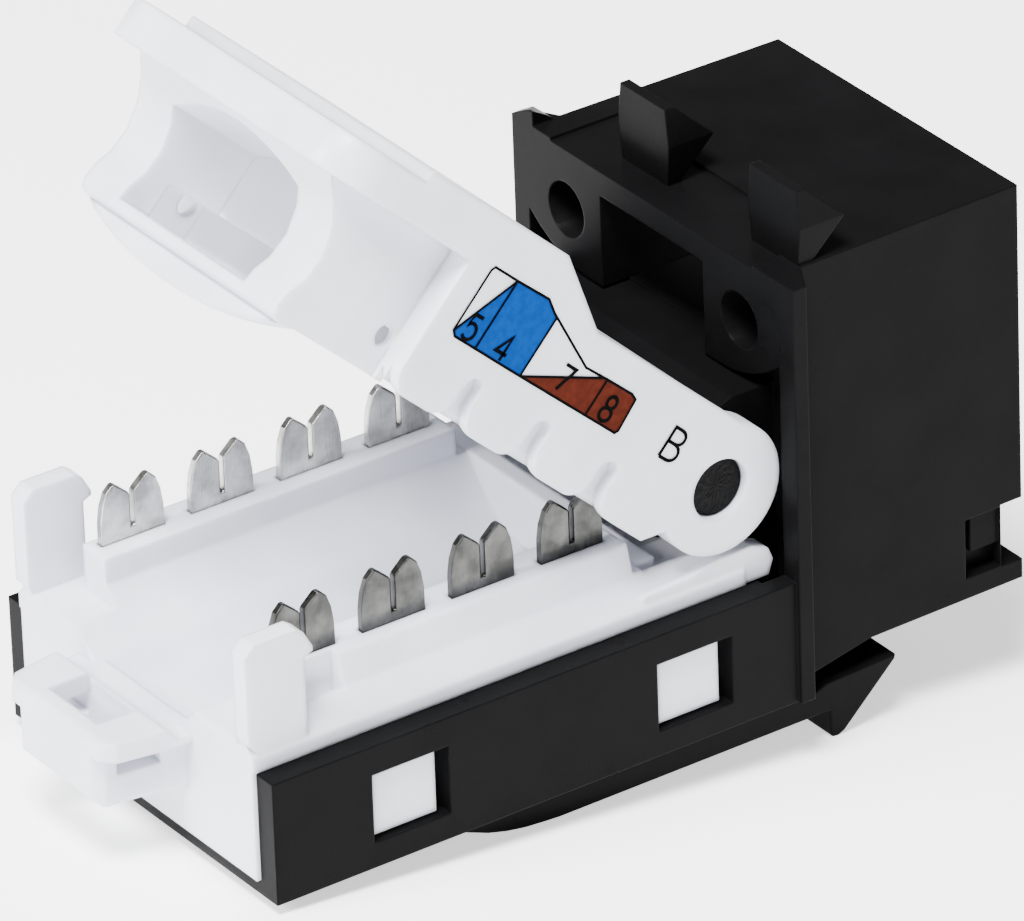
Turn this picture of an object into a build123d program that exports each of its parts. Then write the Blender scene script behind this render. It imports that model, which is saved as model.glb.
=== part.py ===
from build123d import *
import os

# A toolless keystone jack: a black head and tray moulded in one, a white block that carries
# the punch-down contacts, and a hinged wire cap that presses the wires down onto them.
# Sizes are in millimetres. The plug goes in along +Y and its latch is at the top.
# While modelling, y = 0 is the front face, x = 0 the middle and z = 0 the underside of
# the head. At the end everything is lowered so that the origin is the front face's centre.

# Head
head_width = 14.5
head_rear_width = 14.82
head_height = 16.3
head_depth = 11.05
flange_half_width = 8.64
flange_thickness = 0.6
wall = 0.55

# Tray
tray_half_width = 8.44
tray_wall = 0.99
tray_top = 4.27
tray_bottom = -0.70
tray_floor = 0.55
tray_end = 33.86
tray_window_length = 3.3
tray_window_places = (15.6, 28.0)

# Plug port
port_width = 11.8
port_floor = 4.5
port_roof = 11.4
port_depth = 9.3
tab_width = 6.3
tab_roof = 15.17

# Hinge of the wire cap
hinge_y = 13.6
hinge_z = 8.6
pin_radius = 1.14
pin_clearance = 0.06
eye_radius = 2.6
beam_half_width = 6.2
arm_inner = 6.35
arm_outer = 7.5
cap_open_angle = 43.3

# Wire cap, measured from the hinge: reach towards the free end and height above the hinge
cheek_thickness = 0.8
cap_arm_top = 2.45
cap_top = 4.2
cap_bottom = -3.05
cap_shoulder = 16.35
cap_end = 21.1
cap_ridge_end = 20.1
cap_roof_front = 3.3
nose_half_width = 6.35
nose_end_half_width = 5.9
nose_wall = 0.4
tab_reach = 23.9
tab_corner = 2.0
tab_low = 2.2
tab_high = 3.75
wire_slot = 0.9
wire_slot_top = -1.6
groove_floor = 6.95

# Punch-down contacts
contact_pitch = 3.87
contact_rear_place = 30.4
contact_side = 5.41
contact_thickness = 0.35
contact_tip = 9.3
contact_slot_floor = 7.4
contact_half_width = 1.35
contact_count = 8

# Plug contacts
plug_pitch = 1.016
plug_wire = 0.34
plug_count = 8

# Contact block
rail_top = 7.0
rail_inner = 4.4
rail_outer = 6.25
rail_foot = 6.6
rail_end = 32.2
rail_tail_outer = 5.85
trough_radius = 5.05
trough_floor = 3.4
block_end = 34.0
block_front = 12.6
bar_front = 15.7
bar_depth = 0.8
running_gap = 0.05

# Circuit board and contact carrier
board_half_width = 6.1
board_low = 0.45
board_thickness = 1.0
board_front = 7.7
board_rear = 32.6
carrier_front = 2.0
carrier_rear = 12.2

# Panel latch under the tray
latch_half_width = 7.4
latch_bottom = -2.35
latch_gap = 0.7
hook_face = 8.9
hook_depth = 1.17
latch_root = 25.7


def block(x_low, x_high, y_low, y_high, z_low, z_high):
    """A rectangular block between six planes."""
    middle = ((x_low + x_high) / 2, (y_low + y_high) / 2, (z_low + z_high) / 2)
    return Pos(*middle) * Box(x_high - x_low, y_high - y_low, z_high - z_low)


def side_solid(outline, x_low, x_high):
    """A solid with an outline drawn in (y, z) between two planes of x."""
    face = make_face(Polyline(*outline, close=True))
    return extrude(Plane.YZ.offset(x_low) * face, x_high - x_low, dir=(1, 0, 0))


def plan_solid(outline, z_low, z_high):
    """A solid with an outline drawn in (x, y) between two heights."""
    face = make_face(Polyline(*outline, close=True))
    return extrude(Plane.XY.offset(z_low) * face, z_high - z_low, dir=(0, 0, 1))


def rear_solid(outline, y_low, y_high):
    """A solid with an outline drawn in (x, z) between two planes of y."""
    face = make_face(Polyline(*outline, close=True))
    return extrude(Plane.XZ.offset(-y_low) * face, y_high - y_low, dir=(0, 1, 0))


def rod(radius, x_low, x_high, y, z):
    """A cylinder along X."""
    return extrude(Plane.YZ.offset(x_low) * Pos(y, z) * Circle(radius), x_high - x_low, dir=(1, 0, 0))


def both_sides(solid):
    """A solid and its mirror image across the middle plane."""
    return solid + mirror(solid, about=Plane.YZ)


# Housing: head, flange, tray and hinge beam in one moulding

def head_shell():
    """The tapered head, its underside sloping down to the tray."""
    front = head_width / 2
    rear = head_rear_width / 2
    plan = plan_solid([(-front, 0), (front, 0), (rear, head_depth), (-rear, head_depth)],
                      tray_bottom, head_height)
    side = side_solid([(0, 0), (0, head_height), (head_depth, head_height), (head_depth, tray_bottom),
                       (head_depth - 0.75, tray_bottom), (head_depth - 1.48, -0.5),
                       (head_depth - 4.05, 0)], -rear, rear)
    return plan & side


def rear_flange():
    """The lip that stops the head behind the panel, with its ear on one side."""
    inner = head_width / 2
    slope_start = head_depth - 1.35
    step = head_depth - flange_thickness
    plan = [(inner, slope_start), (flange_half_width, step),
            (flange_half_width, head_depth), (inner, head_depth)]
    lip = both_sides(plan_solid(plan, tray_bottom, head_height))
    ear_plan = plan_solid(plan, head_height - 0.5, head_height + 1)
    ear_rear = rear_solid([(7.3, head_height - 0.4), (flange_half_width, head_height - 0.4),
                           (flange_half_width, head_height - 0.1), (8.5, head_height + 0.07),
                           (7.89, head_height + 0.42), (7.45, head_height + 0.6),
                           (7.3, head_height + 0.6)], slope_start, head_depth)
    ear_front = head_depth - 0.95
    ear_side = side_solid([(ear_front, head_height - 0.5), (ear_front, head_height),
                           (head_depth - 0.61, head_height + 0.27),
                           (head_depth - 0.17, head_height + 0.52), (head_depth, head_height + 0.6),
                           (head_depth, head_height - 0.5)], 7, 9)
    return lip + (ear_plan & ear_rear & ear_side)


def panel_fin(x_low, x_high):
    """A wedge on top of the head that snaps behind the panel's upper edge."""
    back = head_depth - 1.23
    crest = 1.5
    top = 3.0
    bulge = 0.18
    profile = [(back, -0.2), (back, top), (back - 0.4, top), (back - 2.0, crest),
               (back - 0.65, 0), (back - 0.65, -0.2)]
    outline = [(x_low, -0.2), (x_low - bulge, crest), (x_low, top), (x_high, top),
               (x_high + bulge, crest), (x_high, -0.2)]
    side = side_solid(profile, x_low - bulge, x_high + bulge)
    rear = rear_solid(outline, back - 2.0, back)
    return Pos(0, 0, head_height) * (side & rear)


def tray():
    """The open tray behind the head: floor, side walls and snap windows."""
    inner = tray_half_width - tray_wall
    outer_block = block(-tray_half_width, tray_half_width, head_depth - 0.5, tray_end,
                        tray_bottom, tray_top)
    hollow = block(-inner, inner, head_depth, tray_end + 1, tray_bottom + tray_floor, tray_top + 1)
    body = outer_block - hollow
    for place in tray_window_places:
        half = tray_window_length / 2
        body -= block(-tray_half_width - 1, tray_half_width + 1, place - half, place + half, 0.33, 3.1)
    return body


def hinge_beam():
    """The bar behind the head that carries the two hinge pins."""
    root = head_depth - 1.3
    top = hinge_z + 2.7
    foot = hinge_z - 2.0
    web = side_solid([(root, foot), (root, top), (hinge_y - 1.5, top), (hinge_y + 0.9, hinge_z + 1.8),
                      (hinge_y, hinge_z), (hinge_y, foot)], -beam_half_width, beam_half_width)
    barrel = rod(2.0, -beam_half_width, beam_half_width, hinge_y, hinge_z)
    pins = rod(pin_radius, -arm_outer + 0.35, arm_outer - 0.35, hinge_y, hinge_z)
    return web + barrel + pins


def plug_port():
    """The space for the plug, its latch tab and the wire that runs out behind."""
    half = port_width / 2
    tab = tab_width / 2
    ledge = tab - 1.2
    shoulder = port_roof + 1.5
    main = block(-half, half, -1, port_depth, port_floor, port_roof)
    tab_mouth = block(-tab, tab, -1, 2, port_roof - 1, shoulder)
    tab_slot = block(-ledge, ledge, -1, 2, port_roof - 1, tab_roof)
    tab_channel = block(-tab, tab, 1.6, head_depth + 1, port_roof, tab_roof)
    tab_link = block(-tab, tab, 1.6, port_depth, port_roof - 1, port_roof + 1)
    return main + tab_mouth + tab_slot + tab_channel + tab_link


def carrier_space():
    """The lower cavity for the contact carrier and the front of the circuit board."""
    low = carrier_front - 0.1
    board_cut = block(-board_half_width - 0.15, board_half_width + 0.15, board_front - 0.15,
                      head_depth + 1, board_low - 0.1, port_floor)
    carrier_cut = block(-port_width / 2, port_width / 2, low, head_depth + 1,
                        board_low + board_thickness, port_floor + 0.1)
    return board_cut + carrier_cut


def rear_recess():
    """The shallow recess in the head's rear face where the cap's eyes turn."""
    half = 7.7
    middle = beam_half_width
    low = tray_bottom + tray_floor
    right = ThreePointArc((3.2, port_roof), (5.9, 11.75), (half, 12.8))
    left = ThreePointArc((-half, 12.8), (-5.9, 11.75), (-3.2, port_roof))
    rest = Polyline((half, 12.8), (half, low), (-half, low), (-half, 12.8))
    face = make_face(right + rest + left + Line((-3.2, port_roof), (3.2, port_roof)))
    shallow = extrude(Plane.XZ.offset(-head_depth - 1) * face, 1.8, dir=(0, -1, 0))
    deep = block(-middle, middle, head_depth - 1.2, head_depth + 1, 9.65, port_roof)
    lower = block(-middle, middle, head_depth - 1.0, head_depth + 1, port_floor, 9.65)
    return shallow + deep + lower


def side_pocket():
    """The small stepped pocket low on each side of the head."""
    skin = head_width / 2 - 0.6
    facet = head_width / 2 - 0.14
    slot = block(skin, 9, 2.26, 2.6, 0.85, 3.3)
    pocket = block(skin, 9, 1.0, 2.6, 0.85, 1.8)
    dip = block(facet, 9, 1.0, 2.3, 1.7, 3.3)
    return both_sides(slot + pocket + dip)


def core_holes():
    """Two blind holes that lighten the thick rear corners of the head."""
    depth = 3.0
    hole = extrude(Plane.XZ.offset(-head_depth - 0.5) * Pos(5.33, 13.7) * Circle(1.1),
                   depth + 0.5, dir=(0, -1, 0))
    return both_sides(hole)


def build_housing():
    """The complete black moulding."""
    body = head_shell() + rear_flange() + tray()
    body -= block(-9, 9, -1, 0.97, 0.8, 3.37)
    body -= side_pocket()
    body -= block(-6.2, 6.2, head_depth - 3.05, head_depth + 1, head_height - 0.12, head_height + 0.05)
    body += panel_fin(0.66, 3.43) + panel_fin(-7.25, -4.5)
    body -= rear_recess()
    body -= core_holes()
    body += hinge_beam()
    body -= plug_port()
    body -= carrier_space()
    return body


# Panel latch: the springy arm under the tray

def build_panel_latch():
    """The arm with the hook that catches the panel's lower edge."""
    arm_top = tray_bottom - latch_gap
    root_top = tray_bottom - running_gap
    hook_bottom = latch_bottom - hook_depth
    outline = [(5.92, -1.04), (5.96, -1.21), (7.54, -2.70), (8.30, hook_bottom + 0.1),
               (8.55, hook_bottom), (hook_face - 0.08, hook_bottom + 0.03),
               (hook_face, hook_bottom + 0.12), (hook_face, latch_bottom), (21.0, latch_bottom),
               (22.3, latch_bottom + 0.08), (23.3, latch_bottom + 0.26), (24.1, latch_bottom + 0.48),
               (25.0, latch_bottom + 0.84), (latch_root, root_top), (24.5, root_top),
               (23.9, arm_top + 0.2), (23.3, arm_top), (9.7, arm_top), (9.0, -1.15)]
    return side_solid(outline, -latch_half_width, latch_half_width)


# Contact block: the white moulding in the tray

def block_section():
    """Half of the cross section, with rail, sloping ledge and trough, as (x, z) points."""
    centre = trough_floor + trough_radius
    edge_height = centre - (trough_radius ** 2 - rail_inner ** 2) ** 0.5
    arc_middle = trough_radius * 0.5
    arc_height = centre - (trough_radius ** 2 - arc_middle ** 2) ** 0.5
    arc = ThreePointArc((0, trough_floor), (arc_middle, arc_height), (rail_inner, edge_height))
    rest = Polyline((rail_inner, edge_height), (rail_inner, rail_top), (rail_outer, rail_top),
                    (rail_foot, 5.9), (7.5, 4.9), (7.5, tray_top + 0.03),
                    (tray_half_width - tray_wall - running_gap, tray_top + 0.03),
                    (tray_half_width - tray_wall - running_gap, tray_bottom + tray_floor + 0.02),
                    (0, tray_bottom + tray_floor + 0.02), (0, trough_floor))
    return make_face(arc + rest)


def block_body():
    """The section drawn out along the tray and cut down in front of and behind the rails."""
    half = extrude(Plane.XZ.offset(-block_front) * block_section(), block_end - block_front,
                   dir=(0, 1, 0))
    body = both_sides(half)
    body -= block(-rail_foot, rail_foot, block_front - 1, bar_front, 4.3, 8)
    body -= block(-rail_foot, rail_foot, rail_end, block_end + 1, 5.2, 8)
    tail = cap_shoulder + hinge_y - 0.5
    body -= both_sides(block(rail_tail_outer, rail_foot, tail, rail_end + 1, 5.2, 8))
    body -= block(-8, 8, block_front - 1, 16.9, 5.9, 8)
    body -= both_sides(block(arm_inner - 0.15, rail_foot, bar_front - 0.1, bar_front + bar_depth, 5.2, 8))
    return body


def build_idc_block():
    """The white block with its rails, posts, snaps and cable-tie loop."""
    skin = 0.8
    inside = 6.4
    floor = tray_bottom + tray_floor
    body = block_body()
    body += both_sides(side_solid([(11.5, 4.3), (11.3, 4.9), (11.5, 5.4), (12.2, 5.7), (13.6, 5.75),
                                   (15.0, 5.4), (17.0, 5.3), (17.0, 4.3)], rail_foot - 0.1, 7.4))
    bar_half = arm_inner - 0.15
    body += block(-bar_half, bar_half, bar_front, bar_front + bar_depth, 3.5, 6.0)
    body -= block(-inside, inside, block_front - 1, block_end - skin, floor - 1, trough_floor - skin)
    for index in range(4):
        place = contact_rear_place - index * contact_pitch
        half = contact_half_width + running_gap
        slot = contact_thickness / 2 + 0.03
        body -= both_sides(block(contact_side - slot, contact_side + slot, place - half, place + half,
                                 trough_floor - skin - 1, rail_top + 1))
    body += both_sides(corner_post())
    for place in tray_window_places:
        body += both_sides(window_snap(place))
    body += tie_loop()
    return body


def corner_post():
    """The upright post with a nose that clicks over the closed cap."""
    return side_solid([(31.6, 4.2), (31.6, 8.2), (31.25, 8.35), (31.25, 8.55), (31.6, 9.2),
                       (31.9, 9.4), (33.7, 9.4), (34.1, 9.0), (34.1, 5.5), (33.8, 5.1),
                       (33.8, 4.2)], rail_foot, 7.45)


def window_snap(place):
    """The catch on the block's skirt that sits in a tray window."""
    half = tray_window_length / 2
    inner = tray_half_width - tray_wall - 0.3
    outer = tray_half_width - 0.3
    return block(inner, outer, place - half + 0.43, place + half - 0.2, 0.45, 2.95)


def tie_loop():
    """The loop behind the block that a cable tie passes through, with a wider plate on top."""
    foot = 1.8
    top = 4.6
    root_top = 4.15
    plate_low = 3.85
    end = block_end + 3.45
    root = block_end - 0.5
    side = side_solid([(root, foot), (root, root_top), (block_end + 0.5, root_top), (block_end + 1.0, top),
                       (end - 0.25, top), (end, top - 0.25), (end, foot + 0.3), (end - 0.3, foot)], -4, 4)
    lower = plan_solid([(-3.4, root), (3.4, root), (2.85, block_end + 1.0), (2.6, end - 0.4),
                        (2.2, end), (-2.2, end), (-2.6, end - 0.4), (-2.85, block_end + 1.0)], foot, top)
    plate = plan_solid([(-3.7, root), (3.7, root), (3.5, block_end + 1.5), (3.25, end - 0.5),
                        (2.75, end), (-2.75, end), (-3.25, end - 0.5), (-3.5, block_end + 1.5)],
                       plate_low, top)
    tie_hole = block(-1.6, 1.6, block_end + 0.9, end - 0.85, foot - 1, top + 1)
    tie_slot = block(-4, 4, block_end + 0.9, end - 0.85, 3.0, plate_low)
    return ((lower + plate) & side) - tie_hole - tie_slot


# Wire cap, modelled closed with the hinge at the origin of y and z

def contact_reach(row):
    """Distance of a contact's middle from the hinge, counted from the free end."""
    return contact_rear_place - row * contact_pitch - hinge_y


def cap_shell():
    """The arms with their eyes, the cheeks, the ramped roof and the finger tab."""
    side = [(0, cap_arm_top), (9.3, cap_arm_top), (12.5, cap_top), (cap_ridge_end - 0.1, cap_top),
            (cap_ridge_end, cap_top - 0.1), (cap_ridge_end, tab_low), (cap_shoulder, tab_low),
            (cap_shoulder, cap_bottom), (2.0, cap_bottom), (1.2, -eye_radius + 0.3),
            (0, -eye_radius + 0.3)]
    body = side_solid(side, -arm_outer, arm_outer) + rod(eye_radius, -arm_outer, arm_outer, 0, 0)
    length = tab_reach - cap_shoulder
    tab = Pos(0, tab_reach - length / 2, tab_low) * RectangleRounded(2 * arm_outer, length, tab_corner)
    return body + extrude(tab, tab_high - tab_low, dir=(0, 0, 1))


def cap_nose():
    """The narrower end between the posts: flared up to the tab, two lips across its foot."""
    end = cap_end
    side = side_solid([(cap_shoulder - 1, tab_low + 0.1), (end + 1.7, tab_low + 0.1), (end + 0.9, 1.5),
                       (end + 0.3, 0.6), (end, -0.4), (end + 0.1, -1.4), (end + 0.4, -2.0),
                       (end + 0.5, -2.6), (end + 0.35, -3.0), (end - 0.1, -3.15), (end + 0.1, -3.4),
                       (end + 0.1, -3.9), (end - 0.2, -4.2), (end - 0.5, -4.2),
                       (end - 0.6, cap_bottom), (cap_shoulder - 1, cap_bottom)],
                      -nose_half_width, nose_half_width)
    plan = plan_solid([(-nose_half_width, 10), (nose_half_width, 10), (nose_half_width, 18.6),
                       (nose_end_half_width, end + 2), (-nose_end_half_width, end + 2),
                       (-nose_half_width, 18.6)], -6, 6)
    camber = ThreePointArc((-nose_half_width, -3.0), (0, -4.15), (nose_half_width, -3.0))
    rim = Polyline((nose_half_width, -3.0), (nose_half_width, 5), (-nose_half_width, 5),
                   (-nose_half_width, -3.0))
    section = extrude(Plane.XZ.offset(-10) * make_face(camber + rim), 20, dir=(0, 1, 0))
    return side & plan & section


def cap_hollow():
    """The space inside for the cable, between the two rows of wire guides."""
    front = cap_roof_front
    low_roof = cap_arm_top - 1.1
    guide = rail_inner - 0.2
    rail_clear = rail_foot + 0.15
    clear = block(-arm_inner, arm_inner, -4, front, -5, 6)
    inner = side_solid([(front - 1, cap_bottom - 2), (front - 1, low_roof), (9.5, low_roof),
                        (11.5, low_roof + 0.9), (cap_shoulder + 0.8, low_roof + 0.9),
                        (cap_shoulder + 0.8, cap_bottom - 2)], -guide, guide)
    over_rails = block(-rail_clear, rail_clear, front - 1, cap_shoulder - 0.3, -6, -1.3)
    tail = rail_end - hinge_y + 0.2
    tail_clear = nose_half_width - nose_wall
    over_tail = block(-tail_clear, tail_clear, cap_shoulder - 0.4, tail, -6, -1.3)
    nose_clear = nose_end_half_width - 0.7
    over_nose = block(-nose_clear, nose_clear, tail - 0.1, cap_end - 1.2, -6, -1.3)
    return clear + inner + over_rails + over_tail + over_nose


def cable_window():
    """The arched opening in the nose where the cable enters."""
    half = 3.9
    sides = Polyline((-half, 1.2), (-half, -2.6), (half, -2.6), (half, 1.2))
    arch = ThreePointArc((half, 1.2), (0, 2.0), (-half, 1.2))
    return extrude(Plane.XZ.offset(-cap_shoulder) * make_face(sides + arch), 10, dir=(0, 1, 0))


def contact_clearance():
    """Room for each contact in the wire guides, with the wire's groove out through the cheek."""
    half = contact_half_width + 0.25
    top = wire_slot_top
    cut = None
    for row in range(4):
        reach = contact_reach(row)
        slot = block(contact_side - 0.3, contact_side + 0.3, reach - half, reach + half, -3, 1.0)
        groove = rod(wire_slot / 2, rail_inner - 1, rail_foot + 0.15, reach, top)
        groove += rod(wire_slot / 2, groove_floor, 9, reach, top)
        mouth = block(groove_floor, 9, reach - wire_slot / 2, reach + wire_slot / 2, -5, top)
        both = slot + groove + mouth
        cut = both if cut is None else cut + both
    return both_sides(cut)


def cheek_scallops():
    """What is cut off the cheeks' lower edge so that it ends in rounded lobes."""
    high = cap_bottom + 1.1
    strip = None
    for row in range(4):
        reach = contact_reach(row)
        low = block(groove_floor, 9, reach - contact_pitch / 2, reach + contact_pitch / 2, -5, high)
        for place in (reach - contact_pitch / 2, reach + contact_pitch / 2):
            lobe = RectangleRounded(contact_pitch - wire_slot, 2.4, 0.95)
            lobe_face = Plane.YZ.offset(rail_foot - 1) * Pos(place, cap_bottom + 1.2) * lobe
            low -= extrude(lobe_face, 4, dir=(1, 0, 0))
        strip = low if strip is None else strip + low
    return both_sides(strip)


def build_wire_cap():
    """The hinged cap, turned about its pins to the half-open rest position."""
    body = cap_shell() + cap_nose() - cap_hollow() - cable_window()
    body -= contact_clearance()
    body -= cheek_scallops()
    body -= rod(pin_radius + pin_clearance, -9, 9, 0, 0)
    chamfer = rear_solid([(rail_foot, cap_bottom - 0.3), (7.1, cap_bottom - 0.3), (7.1, cap_bottom),
                          (rail_foot, cap_bottom + 0.55)], 1, cap_shoulder + 1)
    body -= both_sides(chamfer)
    return Pos(0, hinge_y, hinge_z) * Rot(cap_open_angle, 0, 0) * body


# Metal contacts, board and carrier

def build_idc_contact(index):
    """One slotted punch-down contact: two pointed tines over a leg into the board."""
    row = index % 4
    side = 1 if index < 4 else -1
    place = contact_rear_place - row * contact_pitch
    slit = 0.09
    tine = [(slit, contact_slot_floor), (slit, contact_tip - 0.52), (0.68, contact_tip),
            (0.80, contact_tip), (1.08, contact_tip - 0.28), (1.27, contact_tip - 0.8),
            (contact_half_width, contact_tip - 1.35), (contact_half_width, 3.1), (0.3, 3.1),
            (0.3, board_low - 0.3)]
    right = [(place + y, z) for y, z in tine]
    left = [(place - y, z) for y, z in reversed(tine)]
    low = side * contact_side - contact_thickness / 2
    return side_solid(right + left, low, low + contact_thickness)


def plug_leg_place(index):
    """The legs stand in two staggered rows."""
    return 11.3 if index % 2 == 0 else 9.9


def build_jack_contact(index):
    """One plug wire: leg, run through the carrier, bend at the front and spring up and back."""
    x = (index - (plug_count - 1) / 2) * plug_pitch
    leg = plug_leg_place(index)
    run = port_floor - 0.55
    points = [(x, leg, board_low - 0.05), (x, leg, run), (x, 3.0, run), (x, 2.5, run + 0.75),
              (x, 8.4, 6.85)]
    path = FilletPolyline(*points, radius=0.3)
    section = Plane(origin=path @ 0, z_dir=path % 0) * Rectangle(plug_wire, plug_wire)
    return sweep(section, path=path)


def build_contact_carrier():
    """The insulating block under the port that holds the plug wires."""
    half = port_width / 2 - 0.1
    low = board_low + board_thickness + 0.05
    body = block(-half, half, carrier_front, carrier_rear, low, port_floor - 0.05)
    groove = plug_wire / 2 + 0.05
    run = port_floor - 0.55 - groove
    for index in range(plug_count):
        x = (index - (plug_count - 1) / 2) * plug_pitch
        leg = plug_leg_place(index)
        body -= block(x - groove, x + groove, carrier_front - 1, leg + groove, run, port_floor + 1)
        body -= block(x - groove, x + groove, leg - groove, leg + groove, low - 1, port_floor)
    return body


def build_circuit_board():
    """The board that joins each punch-down contact to its plug wire."""
    body = block(-board_half_width, board_half_width, board_front, board_rear,
                 board_low, board_low + board_thickness)
    middle = board_low + board_thickness / 2
    for index in range(4):
        place = contact_rear_place - index * contact_pitch
        for side in (-1, 1):
            body -= Pos(side * contact_side, place, middle) * Cylinder(0.42, board_thickness + 1)
    for index in range(plug_count):
        x = (index - (plug_count - 1) / 2) * plug_pitch
        body -= Pos(x, plug_leg_place(index), middle) * Cylinder(0.32, board_thickness + 1)
    return body


def save(shape, node):
    """Lower the part so that the origin is the centre of the front face, and write it."""
    export_step(Pos(0, 0, -head_height / 2) * shape, "parts/" + node + ".step")


os.makedirs("parts", exist_ok=True)
save(build_housing(), "housing")
save(build_panel_latch(), "panel_latch")
save(build_idc_block(), "idc_block")
save(build_wire_cap(), "wire_cap")
save(build_circuit_board(), "circuit_board")
save(build_contact_carrier(), "contact_carrier")
for number in range(contact_count):
    save(build_idc_contact(number), "idc_contact_" + str(number + 1))
for number in range(plug_count):
    save(build_jack_contact(number), "jack_contact_" + str(number + 1))
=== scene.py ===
import math
import bpy
from mathutils import Matrix, Vector


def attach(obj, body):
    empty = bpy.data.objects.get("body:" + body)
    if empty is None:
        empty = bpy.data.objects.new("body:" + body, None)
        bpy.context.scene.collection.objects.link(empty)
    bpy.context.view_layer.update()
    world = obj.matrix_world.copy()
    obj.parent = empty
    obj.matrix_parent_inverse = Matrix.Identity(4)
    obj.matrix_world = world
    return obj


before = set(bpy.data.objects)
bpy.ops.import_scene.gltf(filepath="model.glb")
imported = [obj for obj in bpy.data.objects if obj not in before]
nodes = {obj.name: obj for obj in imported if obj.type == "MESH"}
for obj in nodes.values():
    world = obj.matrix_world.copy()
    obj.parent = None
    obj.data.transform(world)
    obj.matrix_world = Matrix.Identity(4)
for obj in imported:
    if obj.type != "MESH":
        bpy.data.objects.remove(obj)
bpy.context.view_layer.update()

# Places in millimetres, in the part's own frame unless said otherwise
MM = 0.001
HEAD_HALF_HEIGHT = 8.15
HINGE = (13.6, 8.6 - HEAD_HALF_HEIGHT)
CAP_ANGLE = math.radians(43.3)
CHEEK_SIDE = -7.5
PRINT_LIFT = 0.024
FIELD_LIFT = 0.010
STROKE_LAYER = 0.001
LINE_WIDTH = 0.10
SIGN_WIDTH = 0.14
SIGN_HEIGHT = 0.95
SCHEME_HEIGHT = 1.2
PIN_END_DEPTH = 0.35
PIN_END_RADIUS = 1.08

# The camera stands where the photograph was taken from
CAMERA_AZIMUTH = math.radians(235.822)
CAMERA_ELEVATION = math.radians(29.475)
CAMERA_ROLL = math.radians(-2.116)
CAMERA_DISTANCE = 449.294
CAMERA_LENS = 435.89
CAMERA_TARGET = (0.0, 14.0, 6.0 - HEAD_HALF_HEIGHT)
CAMERA_ASIDE = -2.885
CAMERA_UP = 0.531

# The jack stands on the hook's edge and on the belly of the latch arm
HOOK_FOOT = (8.55, -3.52 - HEAD_HALF_HEIGHT)
BELLY_FOOT = (21.0, -2.35 - HEAD_HALF_HEIGHT)


# Materials

def new_material(name):
    """An empty node material with its shader and output."""
    material = bpy.data.materials.new(name)
    material.use_nodes = True
    tree = material.node_tree
    shader = tree.nodes["Principled BSDF"]
    return material, tree, shader


def noise(tree, scale, detail=4.0, roughness=0.55, stretch=None):
    """A noise pattern in object space. scale is in patterns per metre."""
    coords = tree.nodes.new("ShaderNodeTexCoord")
    texture = tree.nodes.new("ShaderNodeTexNoise")
    texture.inputs["Scale"].default_value = scale
    texture.inputs["Detail"].default_value = detail
    texture.inputs["Roughness"].default_value = roughness
    if stretch is None:
        tree.links.new(coords.outputs["Object"], texture.inputs["Vector"])
    else:
        mapping = tree.nodes.new("ShaderNodeMapping")
        mapping.inputs["Scale"].default_value = stretch
        tree.links.new(coords.outputs["Object"], mapping.inputs["Vector"])
        tree.links.new(mapping.outputs["Vector"], texture.inputs["Vector"])
    return texture.outputs["Fac"]


def ramp(tree, source, low, high, start=0.35, end=0.65):
    """Maps a pattern onto two colours."""
    node = tree.nodes.new("ShaderNodeValToRGB")
    node.color_ramp.elements[0].position = start
    node.color_ramp.elements[1].position = end
    node.color_ramp.elements[0].color = (*low, 1)
    node.color_ramp.elements[1].color = (*high, 1)
    tree.links.new(source, node.inputs["Fac"])
    return node.outputs["Color"]


def vary(tree, source, low, high):
    """Maps a pattern onto a range of numbers."""
    node = tree.nodes.new("ShaderNodeMapRange")
    node.inputs["From Min"].default_value = 0.3
    node.inputs["From Max"].default_value = 0.7
    node.inputs["To Min"].default_value = low
    node.inputs["To Max"].default_value = high
    tree.links.new(source, node.inputs["Value"])
    return node.outputs["Result"]


def add_bump(tree, shader, source, strength, distance, rounding=0.0):
    """Raises the surface by a pattern, over edges rounded by so many millimetres."""
    node = tree.nodes.new("ShaderNodeBump")
    node.inputs["Strength"].default_value = strength
    node.inputs["Distance"].default_value = distance
    tree.links.new(source, node.inputs["Height"])
    tree.links.new(node.outputs["Normal"], shader.inputs["Normal"])
    if rounding > 0:
        edge = tree.nodes.new("ShaderNodeBevel")
        edge.samples = 6
        edge.inputs["Radius"].default_value = rounding * MM
        tree.links.new(edge.outputs["Normal"], node.inputs["Normal"])


def white_plastic():
    """Milky moulded plastic that lets a little light through."""
    material, tree, shader = new_material("white_plastic")
    cloud = noise(tree, 260, 3)
    grain = noise(tree, 5200, 2)
    tree.links.new(ramp(tree, cloud, (0.62, 0.635, 0.70), (0.68, 0.695, 0.75)), shader.inputs["Base Color"])
    tree.links.new(vary(tree, cloud, 0.30, 0.42), shader.inputs["Roughness"])
    shader.inputs["Subsurface Weight"].default_value = 0.30
    shader.inputs["Subsurface Radius"].default_value = (1.0, 0.95, 0.9)
    shader.inputs["Subsurface Scale"].default_value = 0.0007
    shader.inputs["IOR"].default_value = 1.5
    add_bump(tree, shader, grain, 0.12, 0.00002, 0.28)
    return material


def black_plastic():
    """Satin black moulded plastic with a fine spark-eroded grain."""
    material, tree, shader = new_material("black_plastic")
    cloud = noise(tree, 300, 4)
    grain = noise(tree, 9000, 2)
    tree.links.new(ramp(tree, cloud, (0.0030, 0.0030, 0.0032), (0.0040, 0.0040, 0.0043)),
                   shader.inputs["Base Color"])
    tree.links.new(vary(tree, cloud, 0.26, 0.40), shader.inputs["Roughness"])
    shader.inputs["Specular IOR Level"].default_value = 0.025
    add_bump(tree, shader, grain, 0.22, 0.00002, 0.10)
    return material


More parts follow.
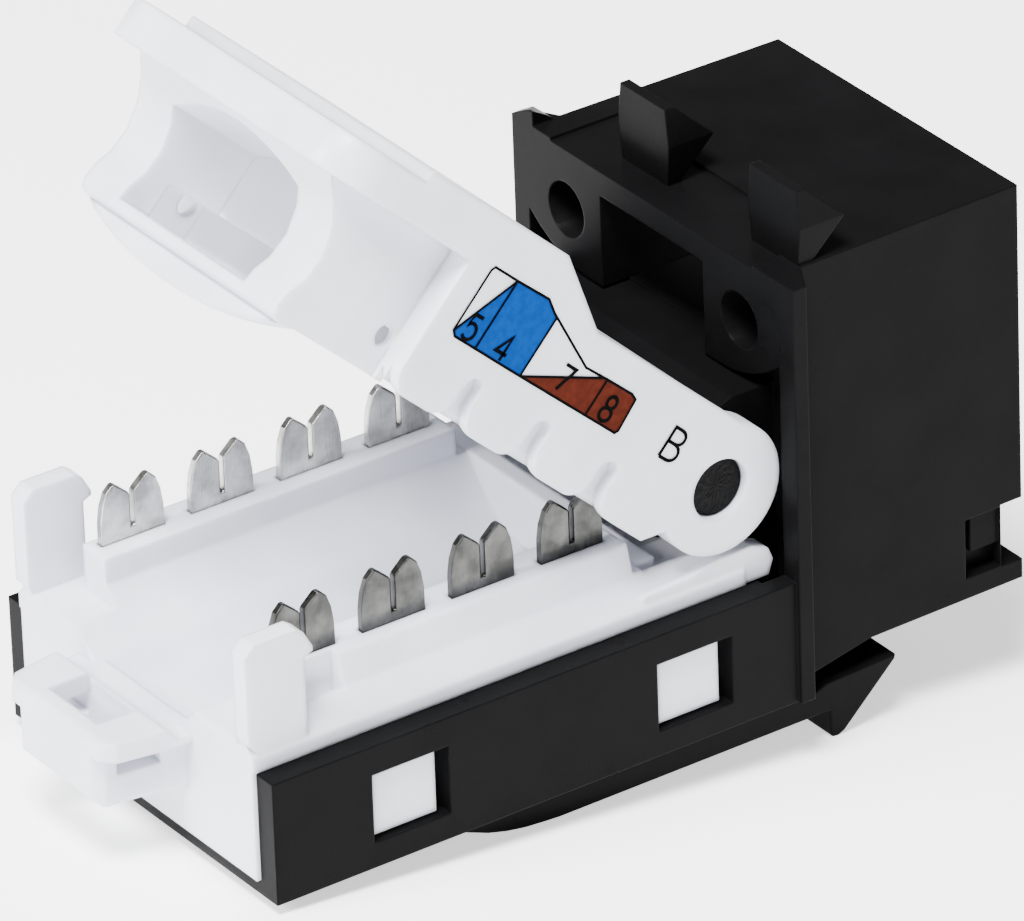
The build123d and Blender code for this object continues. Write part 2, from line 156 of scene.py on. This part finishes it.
def tinned_metal(name, low, high):
    """Stamped contact metal with a tin skin and faint drawing lines."""
    material, tree, shader = new_material(name)
    lines = noise(tree, 2600, 3, stretch=(1.0, 1.0, 0.06))
    cloud = noise(tree, 900, 3)
    tree.links.new(ramp(tree, cloud, low, high), shader.inputs["Base Color"])
    tree.links.new(vary(tree, lines, 0.20, 0.38), shader.inputs["Roughness"])
    shader.inputs["Metallic"].default_value = 1.0
    add_bump(tree, shader, lines, 0.10, 0.00002)
    return material


def gold_wire():
    """Gold-plated spring wire."""
    material, tree, shader = new_material("gold_wire")
    lines = noise(tree, 3000, 2, stretch=(1.0, 0.1, 0.1))
    tree.links.new(ramp(tree, lines, (0.83, 0.56, 0.20), (0.95, 0.72, 0.34)), shader.inputs["Base Color"])
    tree.links.new(vary(tree, lines, 0.14, 0.26), shader.inputs["Roughness"])
    shader.inputs["Metallic"].default_value = 1.0
    return material


def board_material():
    """Green solder mask over a woven glass board."""
    material, tree, shader = new_material("board")
    weave = noise(tree, 2400, 2, stretch=(1.0, 0.25, 1.0))
    tree.links.new(ramp(tree, weave, (0.012, 0.10, 0.04), (0.02, 0.17, 0.07)), shader.inputs["Base Color"])
    tree.links.new(vary(tree, weave, 0.3, 0.45), shader.inputs["Roughness"])
    add_bump(tree, shader, weave, 0.1, 0.00002)
    return material


def print_material(name, low, high):
    """Pad-printed ink with slightly uneven cover."""
    material, tree, shader = new_material(name)
    cover = noise(tree, 3500, 4)
    tree.links.new(ramp(tree, cover, low, high), shader.inputs["Base Color"])
    tree.links.new(vary(tree, cover, 0.35, 0.5), shader.inputs["Roughness"])
    shader.inputs["Specular IOR Level"].default_value = 0.01
    return material


WHITE = white_plastic()
BLACK = black_plastic()
TIN = tinned_metal("tinned_metal", (0.30, 0.30, 0.285), (0.56, 0.555, 0.53))
# Contacts 5 to 8 get a much darker copy of the tin colour. This is a painted dark reflection of the black
# head, not a duller metal.
TIN_PAINTED_DARK_REFLECTION = tinned_metal("tinned_metal_painted_dark_reflection", (0.040, 0.040, 0.0385), (0.095, 0.095, 0.091))
GOLD = gold_wire()
BOARD = board_material()
INK_BLUE = print_material("ink_blue", (0.0, 0.034, 0.19), (0.0, 0.044, 0.23))
INK_BROWN = print_material("ink_brown", (0.050, 0.009, 0.005), (0.070, 0.013, 0.007))
INK_BLACK = print_material("ink_black", (0.001, 0.001, 0.001), (0.002, 0.002, 0.002))


# Moulded look of the rigid pieces

def dress(name, material, radius, segments=3, angle=28):
    """Gives a rigid piece its material and rounds its edges slightly."""
    piece = nodes[name]
    piece.data.materials.clear()
    piece.data.materials.append(material)
    weld = piece.modifiers.new("weld", "WELD")
    weld.merge_threshold = 0.000004
    if radius > 0:
        bevel = piece.modifiers.new("bevel", "BEVEL")
        bevel.width = radius * MM
        bevel.segments = segments
        bevel.limit_method = "ANGLE"
        bevel.angle_limit = math.radians(angle)
        bevel.use_clamp_overlap = True
        bevel.harden_normals = True
    return piece


dress("housing", BLACK, 0.06, 2)
dress("panel_latch", BLACK, 0.06, 2)
dress("idc_block", WHITE, 0.12, 3)
dress("wire_cap", WHITE, 0.10, 2)
dress("contact_carrier", BLACK, 0.03, 1)
dress("circuit_board", BOARD, 0.0)
for number in range(1, 9):
    # Contacts 5 to 8 take the darker tin copy, which is a painted dark reflection.
    dress("idc_contact_%d" % number, TIN if number <= 4 else TIN_PAINTED_DARK_REFLECTION, 0.11, 1)
    dress("jack_contact_%d" % number, GOLD, 0.05, 1)


# Printed wiring label on the cap's near cheek. Its points are (s, t): s is the distance from
# the hinge towards the free end and t the height above the hinge, with the cap closed.

def on_cheek(s, t, lift):
    """A label point on the cheek of the open cap, in metres."""
    y = HINGE[0] + s * math.cos(CAP_ANGLE) - t * math.sin(CAP_ANGLE)
    z = HINGE[1] + s * math.sin(CAP_ANGLE) + t * math.cos(CAP_ANGLE)
    return Vector(((CHEEK_SIDE - lift) * MM, y * MM, z * MM))


def add_mesh(name, vertices, faces, material, body):
    """A mesh piece that moves with a body."""
    data = bpy.data.meshes.new(name)
    data.from_pydata([tuple(v) for v in vertices], [], faces)
    data.update()
    data.materials.append(material)
    piece = bpy.data.objects.new(name, data)
    bpy.context.scene.collection.objects.link(piece)
    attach(piece, body)
    return piece


def printed_field(name, outline, material):
    """A flat printed area."""
    points = [on_cheek(s, t, FIELD_LIFT) for s, t in outline]
    return add_mesh(name, points, [list(range(len(points)))], material, "cap")


def ribbon(outline, width, closed=False):
    """Left and right edge points of a line of that width through the outline."""
    count = len(outline)
    edges = []
    for index, (s, t) in enumerate(outline):
        before = outline[(index - 1) % count] if closed or index else outline[0]
        after = outline[(index + 1) % count] if closed or index < count - 1 else outline[-1]
        into = Vector((s - before[0], t - before[1]))
        out = Vector((after[0] - s, after[1] - t))
        into = into.normalized() if into.length > 0 else out.normalized()
        out = out.normalized() if out.length > 0 else into
        along = (into + out).normalized()
        across = Vector((-along.y, along.x))
        turn = max(0.45, across.dot(Vector((-into.y, into.x))))
        reach = width / 2 / turn
        left = (s + across.x * reach, t + across.y * reach)
        right = (s - across.x * reach, t - across.y * reach)
        edges.append((left, right))
    return edges


def printed_lines(name, outlines, width, material):
    """Printed strokes, each an open or closed line."""
    vertices = []
    faces = []
    for layer, (outline, closed) in enumerate(outlines):
        start = len(vertices)
        lift = PRINT_LIFT + STROKE_LAYER * layer
        edges = ribbon(outline, width, closed)
        for left, right in edges:
            vertices.append(on_cheek(left[0], left[1], lift))
            vertices.append(on_cheek(right[0], right[1], lift))
        count = len(edges)
        steps = count if closed else count - 1
        for index in range(steps):
            a = start + 2 * index
            b = start + 2 * ((index + 1) % count)
            faces.append([a, b, b + 1, a + 1])
    return add_mesh(name, vertices, faces, material, "cap")


def arc(centre, radius, start, end, steps=12):
    """Points along an arc; angles in degrees."""
    points = []
    for index in range(steps + 1):
        angle = math.radians(start + (end - start) * index / steps)
        points.append((centre[0] + radius[0] * math.cos(angle), centre[1] + radius[1] * math.sin(angle)))
    return points


# Strokes of the characters in a box 0.6 wide and 1 high
STROKES = {
    "4": [([(0.62, 0.28), (0.0, 0.28), (0.44, 1.0), (0.44, 0.0)], False)],
    "5": [([(0.56, 1.0), (0.12, 1.0), (0.06, 0.55)] + arc((0.27, 0.33), (0.31, 0.33), 130, -140), False)],
    "7": [([(0.0, 1.0), (0.6, 1.0), (0.2, 0.0)], False)],
    "8": [(arc((0.3, 0.75), (0.24, 0.25), 0, 337.5, 15), True),
          (arc((0.3, 0.25), (0.30, 0.27), 0, 337.5, 15), True)],
    "B": [([(0.0, 0.0), (0.0, 1.0)] + [(0.3, 1.0)] + arc((0.32, 0.765), (0.27, 0.235), 90, -90, 8)
           + [(0.0, 0.53)], False),
          ([(0.32, 0.53)] + arc((0.34, 0.265), (0.31, 0.265), 90, -90, 8) + [(0.0, 0.0)], False)],
}


def character(sign, middle, height):
    """The strokes of one character, read with the hinge to the right."""
    wide = 0.6 * height
    placed = []
    for outline, closed in STROKES[sign]:
        points = []
        for x, z in outline:
            points.append((middle[0] + wide / 2 - x * height, middle[1] - height / 2 + z * height))
        placed.append((points, closed))
    return placed


LABEL = [(15.2, 2.5), (14.0, 2.5), (12.2, 2.54), (11.6, 2.22), (8.9, 1.18), (7.7, 1.22), (6.3, 1.24),
         (6.0, 1.14), (5.9, -0.12), (6.0, -0.26), (11.5, -0.30), (15.1, -0.30), (15.3, -0.12), (15.3, 2.34)]
printed_field("label_field_blue", [(13.95, -0.30), (13.95, 2.5), (12.2, 2.54), (11.6, 2.22), (11.4, 2.14),
                                   (11.4, -0.30)], INK_BLUE)
printed_field("label_field_blue_striped", [(15.3, -0.15), (15.1, -0.30), (13.95, -0.30), (13.95, 2.5)],
              INK_BLUE)
printed_field("label_field_brown", [(7.7, -0.28), (7.7, 1.22), (6.3, 1.24), (6.0, 1.14), (5.9, -0.12),
                                    (6.0, -0.26)], INK_BROWN)
printed_field("label_field_brown_striped", [(11.4, -0.3), (7.7, -0.28), (7.7, 1.2), (8.0, 1.2)], INK_BROWN)
label_lines = [(LABEL, True), ([(13.95, -0.3), (13.95, 2.5)], False), ([(11.4, -0.3), (11.4, 2.14)], False),
               ([(7.7, -0.28), (7.7, 1.22)], False), ([(15.3, -0.15), (13.95, 2.5)], False),
               ([(11.4, -0.3), (7.9, 1.2)], False)]
printed_lines("label_lines", label_lines, LINE_WIDTH, INK_BLACK)
signs = []
for sign, middle in (("5", (14.6, 0.27)), ("4", (12.8, 0.26)), ("7", (9.5, 0.45)), ("8", (6.9, 0.36))):
    signs += character(sign, middle, SIGN_HEIGHT)
signs += character("B", (3.2, 0.48), SCHEME_HEIGHT)
printed_lines("label_signs", signs, SIGN_WIDTH, INK_BLACK)


# Broken-off grain on the end of the near hinge pin, seen through the cap's eye

def pin_end():
    """A thin rough cap of black plastic on the pin's recessed end."""
    rings = 8
    around = 40
    centre = (HINGE[0], HINGE[1])
    low = CHEEK_SIDE + PIN_END_DEPTH
    vertices = [Vector(((low - 0.03) * MM, centre[0] * MM, centre[1] * MM))]
    faces = []
    for ring in range(1, rings + 1):
        radius = PIN_END_RADIUS * ring / rings
        for step in range(around):
            angle = 2 * math.pi * step / around
            rough = 0.012 * math.sin(7.3 * ring + 3.1 * step) * math.cos(2.3 * step * ring)
            depth = low - 0.02 + (0.015 if ring == rings else rough)
            vertices.append(Vector((depth * MM, (centre[0] + radius * math.cos(angle)) * MM,
                                    (centre[1] + radius * math.sin(angle)) * MM)))
    for step in range(around):
        faces.append([0, 1 + step, 1 + (step + 1) % around])
    for ring in range(rings - 1):
        for step in range(around):
            a = 1 + ring * around + step
            b = 1 + ring * around + (step + 1) % around
            faces.append([a, a + around, b + around, b])
    material, tree, shader = new_material("broken_grain")
    speck = noise(tree, 9000, 5, 0.7)
    tree.links.new(ramp(tree, speck, (0.0004, 0.0004, 0.0004), (0.007, 0.007, 0.0075), 0.55, 0.8),
                   shader.inputs["Base Color"])
    tree.links.new(vary(tree, speck, 0.45, 0.15), shader.inputs["Roughness"])
    shader.inputs["Specular IOR Level"].default_value = 0.05
    add_bump(tree, shader, speck, 0.6, 0.00004)
    return add_mesh("pin_end_grain", vertices, faces, material, "jack")


pin_end()


# Floor, light and camera

def add_floor():
    """A pale floor through the hook's edge and the latch arm's belly."""
    slope = math.atan2(BELLY_FOOT[1] - HOOK_FOOT[1], BELLY_FOOT[0] - HOOK_FOOT[0])
    half = 1.5
    data = bpy.data.meshes.new("floor")
    corners = [(-half, -half, 0), (half, -half, 0), (half, half, 0), (-half, half, 0)]
    data.from_pydata(corners, [], [(0, 1, 2, 3)])
    floor = bpy.data.objects.new("floor", data)
    bpy.context.scene.collection.objects.link(floor)
    floor.matrix_world = (Matrix.Translation((0, HOOK_FOOT[0] * MM, HOOK_FOOT[1] * MM))
                          @ Matrix.Rotation(slope, 4, "X"))
    material, tree, shader = new_material("floor")
    shader.inputs["Base Color"].default_value = (1.0, 1.0, 1.0, 1)
    shader.inputs["Roughness"].default_value = 0.6
    shader.inputs["Specular IOR Level"].default_value = 0.2
    shader.inputs["Emission Color"].default_value = (1, 1, 1, 1)
    shader.inputs["Emission Strength"].default_value = 1.1
    data.materials.append(material)


def add_lamp(name, place, size, power, colour=(1, 1, 1)):
    """A square soft light that faces the jack."""
    light = bpy.data.lights.new(name, "AREA")
    light.size = size
    light.energy = power
    light.color = colour
    lamp = bpy.data.objects.new(name, light)
    bpy.context.scene.collection.objects.link(lamp)
    lamp.location = place
    aim = Vector((0, 0.014, 0)) - Vector(place)
    lamp.rotation_euler = aim.to_track_quat("-Z", "Y").to_euler()


def add_camera():
    """The camera at the photograph's viewing angle."""
    level = math.cos(CAMERA_ELEVATION)
    away = Vector((math.sin(CAMERA_AZIMUTH) * level, -math.cos(CAMERA_AZIMUTH) * level,
                   math.sin(CAMERA_ELEVATION)))
    flat_right = (-away).cross(Vector((0, 0, 1))).normalized()
    flat_up = flat_right.cross(-away)
    right = flat_right * math.cos(CAMERA_ROLL) + flat_up * math.sin(CAMERA_ROLL)
    up = flat_up * math.cos(CAMERA_ROLL) - flat_right * math.sin(CAMERA_ROLL)
    place = (Vector(CAMERA_TARGET) + away * CAMERA_DISTANCE + right * CAMERA_ASIDE + up * CAMERA_UP) * MM
    data = bpy.data.cameras.new("camera")
    data.lens = CAMERA_LENS
    data.sensor_width = 36.0
    data.sensor_fit = "HORIZONTAL"
    data.clip_start = 0.01
    data.clip_end = 10.0
    camera = bpy.data.objects.new("camera", data)
    bpy.context.scene.collection.objects.link(camera)
    camera.matrix_world = Matrix.Translation(place) @ Matrix((right, up, away)).transposed().to_4x4()
    bpy.context.scene.camera = camera


def add_world():
    """Even white surroundings."""
    world = bpy.data.worlds.new("world")
    world.use_nodes = True
    background = world.node_tree.nodes["Background"]
    background.inputs["Color"].default_value = (1, 1, 1, 1)
    background.inputs["Strength"].default_value = 0.30
    bpy.context.scene.world = world


add_floor()
add_world()
add_lamp("key_light", (-0.10, 0.16, 0.42), 0.16, 7.5)
add_lamp("rear_light", (0.06, 0.42, 0.26), 0.16, 3.8)
add_camera()
